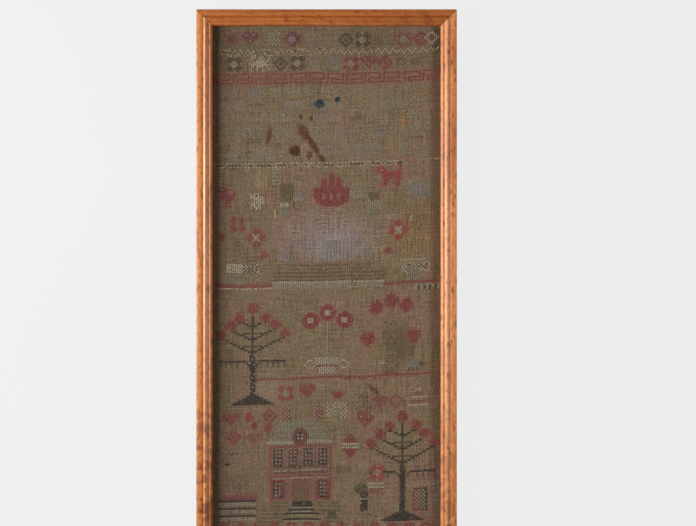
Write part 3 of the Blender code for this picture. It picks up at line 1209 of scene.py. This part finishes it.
def linen_sheet(material):
    """The ground cloth: a thin closed sheet on the CAD cloth's troughs, counted by its UV map."""
    half_x = FRAME_WIDTH / 2 - FACE_WIDTH + CLOTH_TUCK
    half_y = FRAME_HEIGHT / 2 - FACE_WIDTH + CLOTH_TUCK
    columns, rows = SHEET_COLUMNS, SHEET_ROWS
    xs, ys = np.meshgrid(np.linspace(-half_x, half_x, columns + 1), np.linspace(-half_y, half_y, rows + 1))
    front = CLOTH_TOP - trough_depth(xs, ys)
    layers = [np.stack([xs, ys, front - drop], axis=2).reshape(-1, 3) for drop in (0.0, CLOTH_SKIN)]
    wide = columns + 1
    corner = (np.arange(rows)[:, None] * wide + np.arange(columns)[None]).reshape(-1)
    quads = np.stack([corner, corner + 1, corner + wide + 1, corner + wide], axis=1)
    total = wide * (rows + 1)
    ring = [*range(wide), *range(2 * wide - 1, total, wide), *range(total - 2, total - wide - 1, -1)]
    ring += range(total - 2 * wide, 0, -wide)
    rim = [(ring[i], ring[i - 1], ring[i - 1] + total, ring[i] + total) for i in range(len(ring))]
    faces = quads.tolist() + (quads[:, ::-1] + total).tolist() + rim
    made = new_object("linen_cloth", np.concatenate(layers).tolist(), faces, material)
    column, row = counted(xs.reshape(-1), ys.reshape(-1))
    found = np.tile(np.stack([column, row], axis=1), (2, 1))
    corners = np.zeros(len(made.data.loops), int)
    made.data.loops.foreach_get("vertex_index", corners)
    made.data.uv_layers.new(name="counted").data.foreach_set("uv", found[corners].reshape(-1))
    sheet, margin = bled_dye()
    r = np.clip(row + margin - 0.5, 0, sheet.shape[0] - 1).round().astype(int)
    c = np.clip(column + margin - 0.5, 0, sheet.shape[1] - 1).round().astype(int)
    set_values(made, "bled", np.tile(sheet[r, c], 2))
    # How dark the cloth is about each point: its needle holes, and painted shade between the stitches.
    around = [(math.floor(a + i), math.floor(b + j)) for a, b in zip(column, row) for i, j in HALF_STEPS]
    hole_and_stitch_shade = [THREADS[canvas[spot]][3] if spot in canvas else 0.0 for spot in around]
    under = np.array(hole_and_stitch_shade).reshape(-1, len(HALF_STEPS)).mean(axis=1)
    set_values(made, "worked", np.tile(under, 2))
    return made


# The moulding's face, from its outer side to the sight edge, as in the CAD model
BAND_HEIGHT, BAND_CROWN, BAND_ROUND = 0.0200, 0.0003, 0.0012
QUIRK_START, QUIRK_DEPTH = 0.0064, 0.0002
BEAD_START, BEAD_FOOT, BEAD_RISE = 0.0066, 0.0195, 0.0013
BEAD_BLUNTNESS = 1.35  # 2 would be a round, 1 a plain ridge
BEAD_LEAN = 0.08  # its inner foot stands higher than its outer one
COVE_START, COVE_SINK = 0.0121, 0.0002
LIP_START, LIP_TOP, LIP_ROUND = 0.0136, 0.0192, 0.0026
FILLET = 0.0002
STATION_GAP = 0.005  # between a rail's cross-sections
WANDER_UP, WANDER_DOWN = 0.00009, 0.00006  # how far the hand-planed face strays
SIDE_GRAIN_SHIFT = 0.05  # the outer side shows other grain than the face
# Where the maple's painted hollow shade lies: along the quirk and along the cove.
QUIRK_SHADE_AT = (QUIRK_START + BEAD_START) / 2
COVE_SHADE_AT = COVE_START


def arch(start, end, base, rise, steps):
    """Points on the arc over the level chord from start to end. A negative rise makes a hollow."""
    half = (end - start) / 2
    radius = (half * half + rise * rise) / (2 * rise)
    sweep = math.asin(half / radius)
    angles = [-sweep + 2 * sweep * step / steps for step in range(steps + 1)]
    middle = (start + end) / 2
    return [(middle + radius * math.sin(a), base + rise - radius * (1 - math.cos(a))) for a in angles]


def quarter_round(centre, radius, start_deg, steps):
    """Points on a quarter circle, from start_deg clockwise."""
    angles = [math.radians(start_deg - 90 * step / steps) for step in range(steps + 1)]
    return [(centre[0] + radius * math.cos(a), centre[1] + radius * math.sin(a)) for a in angles]


def ladder(first, last, steps):
    """Points along a straight side, without its first one."""
    return [tuple(a + (b - a) * step / steps for a, b in zip(first, last)) for step in range(1, steps + 1)]


def moulding_section():
    """The rail's outline as (distance in from the outer side, height), from the outer back edge."""
    eased = 0.0002  # every long edge is a little softened
    section = [(eased, 0.0), (0.0, eased)]
    shoulder = BAND_HEIGHT - BAND_ROUND
    section += ladder((0.0, eased), (0.0, shoulder), 4)
    section += quarter_round((BAND_ROUND, shoulder), BAND_ROUND, 180, 8)[1:]
    section += arch(BAND_ROUND, QUIRK_START, BAND_HEIGHT, BAND_CROWN, 8)[1:]
    quirk_half = QUIRK_DEPTH / 2
    section += arch(QUIRK_START + eased, BEAD_START - eased, BAND_HEIGHT - quirk_half, -quirk_half, 4)
    middle = (BEAD_START + COVE_START - FILLET) / 2
    half = middle - BEAD_START
    for turn in [step / 12 - 1 for step in range(25)]:
        height = BEAD_FOOT + BEAD_RISE * (1 - abs(turn) ** BEAD_BLUNTNESS) + BEAD_LEAN * turn * half
        section.append((middle + turn * half, height))
    section += arch(COVE_START, LIP_START, LIP_TOP, -COVE_SINK, 10)
    section += quarter_round((FACE_WIDTH - LIP_ROUND, LIP_TOP - LIP_ROUND), LIP_ROUND, 90, 10)
    section += ladder((FACE_WIDTH, LIP_TOP - LIP_ROUND), (FACE_WIDTH, LIP_UNDERSIDE), 4)
    section += [(FACE_WIDTH - REBATE_WIDTH, LIP_UNDERSIDE), (FACE_WIDTH - REBATE_WIDTH, 0.0)]
    return section


def moulding(name, length, half_span, turn_deg, material, seed):
    """One mitred rail, hand-planed: its face wanders by a hair along its length."""
    chance = random.Random(seed)
    waves = [(chance.uniform(9, 60), chance.uniform(0, 6.28), chance.uniform(-1, 1)) for _ in range(6)]
    section = moulding_section()
    mitre_gap = JOINT_GAP / math.sqrt(2)
    turn_cos, turn_sin = math.cos(math.radians(turn_deg)), math.sin(math.radians(turn_deg))
    stations = max(8, round(length / STATION_GAP))
    points, grain = [], []
    for station in range(stations + 1):
        share = 2 * station / stations - 1
        for across, height in section:
            along = share * (length / 2 - across - mitre_gap)
            wander = sum(size * math.sin(rate * along + phase) for rate, phase, size in waves) / 6
            on_face = height > LIP_TOP - LIP_ROUND
            z = height + (WANDER_UP * wander - WANDER_DOWN * abs(wander)) * on_face
            out = half_span - across
            points.append((along * turn_cos - out * turn_sin, along * turn_sin + out * turn_cos, z))
            grain.append((along, across if on_face else across + SIDE_GRAIN_SHIFT + height))
    size = len(section)
    faces = []
    for station in range(stations):
        base = station * size
        for i in range(size):
            j = (i + 1) % size
            faces.append((base + i, base + j, base + size + j, base + size + i))
    faces.append(tuple(range(size))[::-1])
    faces.append(tuple(range(stations * size, (stations + 1) * size)))
    made = new_object(name, points, faces, material)
    for polygon in made.data.polygons[-2:]:
        polygon.use_smooth = False
    mesh = made.data
    layer = mesh.uv_layers.new(name="grain")
    for loop in mesh.loops:
        layer.data[loop.index].uv = grain[loop.vertex_index]
    mesh.set_sharp_from_angle(angle=math.radians(38))
    return made


# ---------------------------------------------------------------- build
work_design()
by_thread = {}
for where, thread in canvas.items():
    by_thread.setdefault(thread, []).append(where)

cloth = linen_sheet(linen_material())
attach(cloth, "root")
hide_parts("sampler_cloth")

for thread in sorted(by_thread):
    piece = sew(thread, by_thread[thread], thread_material(thread, THREADS[thread][0]))
    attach(piece, "root")

for side, length, half_span, turn_deg, seed in (
    ("top", FRAME_WIDTH, FRAME_HEIGHT / 2, 0, 3),
    ("bottom", FRAME_WIDTH, FRAME_HEIGHT / 2, 180, 8),
    ("left", FRAME_HEIGHT, FRAME_WIDTH / 2, 90, 5),
    ("right", FRAME_HEIGHT, FRAME_WIDTH / 2, -90, 13),
):
    rail = moulding("moulding_" + side, length, half_span, turn_deg, maple_material(side, seed * 1.7), seed)
    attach(rail, "root")
    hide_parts("rail_" + side)

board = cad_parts["backing_board"]
board.data.materials.clear()
board.data.materials.append(board_material())


# ---------------------------------------------------------------- studio
def floor():
    """A pale sweep that glows a little, so that the object's own shade on it stays faint."""
    g = Graph("pale_floor")
    where = g.places()
    mottle = g.ease(g.noise(where, 3.0, 2.0), 0.3, 0.7, 0.99, 1.0)
    g.put(g.shaded(WHITE, mottle), g.shader.inputs["Emission Color"])
    g.shader.inputs["Emission Strength"].default_value = FLOOR_GLOW
    g.finish((FLOOR_WHITE, FLOOR_WHITE, FLOOR_WHITE, 1.0), 1.0, Specular_IOR_Level=0.0)
    half = 30.0
    corners = [(-half, -half, -0.0002), (half, -half, -0.0002), (half, half, -0.0002), (-half, half, -0.0002)]
    made = new_object("floor", corners, [(0, 1, 2, 3)], g.material, smooth=False)


def soft_box(name, position, size, power):
    """An area lamp that faces the middle of the object."""
    lamp = bpy.data.lights.new(name, "AREA")
    lamp.shape = "RECTANGLE"
    lamp.size, lamp.size_y = size
    lamp.energy = power
    made = linked(name, lamp)
    made.location = position
    made.rotation_euler = made.location.to_track_quat("Z", "Y").to_euler()


FLOOR_WHITE = 0.05
FLOOR_GLOW = 0.820
PAGE_WHITE = 0.855  # the far background, as a share of full white
AMBIENT = 0.065
VIEW_WIDTH = 0.7067  # of the picture, at the height of the rails
LENS_OFFSET = (0.0218, 0.0321)  # the lens stands a little to the right of the middle and above it

floor()
world = bpy.data.worlds.new("studio")
bpy.context.scene.world = world
world.use_nodes = True
nodes, links = world.node_tree.nodes, world.node_tree.links
seen = nodes.new("ShaderNodeLightPath")
shade = nodes.new("ShaderNodeMix")
links.new(seen.outputs["Is Camera Ray"], shade.inputs[0])
shade.inputs[2].default_value = AMBIENT
shade.inputs[3].default_value = PAGE_WHITE
links.new(shade.outputs[0], nodes["Background"].inputs["Strength"])
nodes["Background"].inputs["Color"].default_value = WHITE

soft_box("key", (-1.05, 0.12, 0.68), (0.30, 1.0), 20.0)
soft_box("fill", (0.95, 0.0, 0.85), (0.34, 1.0), 4.2)

lens = bpy.data.cameras.new("camera")
lens.lens = 100.0
lens.sensor_width = 36.0
camera = linked("camera", lens)
camera.location = (*LENS_OFFSET, HIGH.z + VIEW_WIDTH * lens.lens / lens.sensor_width)
bpy.context.scene.camera = camera
bpy.context.scene.view_settings.view_transform = "Standard"
